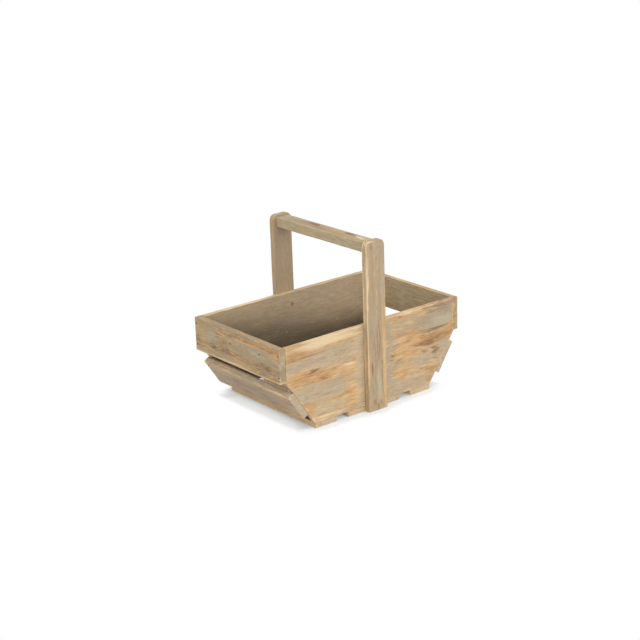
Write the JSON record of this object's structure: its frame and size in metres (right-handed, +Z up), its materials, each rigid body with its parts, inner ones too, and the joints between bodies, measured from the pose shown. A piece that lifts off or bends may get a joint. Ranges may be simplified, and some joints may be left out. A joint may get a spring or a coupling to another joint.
{
  "type": "garden trug",
  "caption": "Slatted wooden carrying basket with tapered ends, an open top and a fixed crossbar handle on two uprights.",
  "frame": {"origin": "centre of the footprint, on the ground that the bottom slats and the uprights stand on", "axes": "+X along the length of the basket, +Y across it along the crossbar, +Z up"},
  "size_m": [0.36, 0.2366, 0.2725],
  "materials": {
    "panel_wood": "grey-washed softwood, sanded back",
    "end_slat_wood": "grey-washed softwood, sanded back",
    "bottom_slat_wood": "grey-washed softwood",
    "upright_wood": "grey-washed softwood, worn arrises",
    "crossbar_wood": "grey-washed softwood, worn smooth on top",
    "nail_steel": "dull, dark with age",
    "screw_steel": "plain"
  },
  "bodies": {
    "root": {"side_panel_front": "panel_wood", "side_panel_back": "panel_wood", "top_slat_left": "end_slat_wood", "top_slat_right": "end_slat_wood", "lower_slat_left": "end_slat_wood", "lower_slat_right": "end_slat_wood", "bottom_slat_1": "bottom_slat_wood", "bottom_slat_2": "bottom_slat_wood", "bottom_slat_3": "bottom_slat_wood", "bottom_slat_4": "bottom_slat_wood", "handle_upright_front": "upright_wood", "handle_upright_back": "upright_wood", "handle_crossbar": "crossbar_wood", "top_slat_left_nail_front_upper": "nail_steel", "top_slat_left_nail_front_lower": "nail_steel", "top_slat_left_nail_back_upper": "nail_steel", "top_slat_left_nail_back_lower": "nail_steel", "top_slat_right_nail_front_upper": "nail_steel", "top_slat_right_nail_front_lower": "nail_steel", "top_slat_right_nail_back_upper": "nail_steel", "top_slat_right_nail_back_lower": "nail_steel", "lower_slat_left_nail_front_upper": "nail_steel", "lower_slat_left_nail_front_lower": "nail_steel", "lower_slat_left_nail_back_upper": "nail_steel", "lower_slat_left_nail_back_lower": "nail_steel", "lower_slat_right_nail_front_upper": "nail_steel", "lower_slat_right_nail_front_lower": "nail_steel", "lower_slat_right_nail_back_upper": "nail_steel", "lower_slat_right_nail_back_lower": "nail_steel", "bottom_slat_1_nail_front_left": "nail_steel", "bottom_slat_1_nail_front_right": "nail_steel", "bottom_slat_1_nail_back_left": "nail_steel", "bottom_slat_1_nail_back_right": "nail_steel", "bottom_slat_2_nail_front_left": "nail_steel", "bottom_slat_2_nail_front_right": "nail_steel", "bottom_slat_2_nail_back_left": "nail_steel", "bottom_slat_2_nail_back_right": "nail_steel", "bottom_slat_3_nail_front_left": "nail_steel", "bottom_slat_3_nail_front_right": "nail_steel", "bottom_slat_3_nail_back_left": "nail_steel", "bottom_slat_3_nail_back_right": "nail_steel", "bottom_slat_4_nail_front_left": "nail_steel", "bottom_slat_4_nail_front_right": "nail_steel", "bottom_slat_4_nail_back_left": "nail_steel", "bottom_slat_4_nail_back_right": "nail_steel", "crossbar_nail_front_left": "nail_steel", "crossbar_nail_front_right": "nail_steel", "crossbar_nail_back_left": "nail_steel", "crossbar_nail_back_right": "nail_steel", "upright_front_screw_1": "screw_steel", "upright_front_screw_2": "screw_steel", "upright_front_screw_3": "screw_steel", "upright_back_screw_1": "screw_steel", "upright_back_screw_2": "screw_steel", "upright_back_screw_3": "screw_steel"}
  },
  "joints": []
}
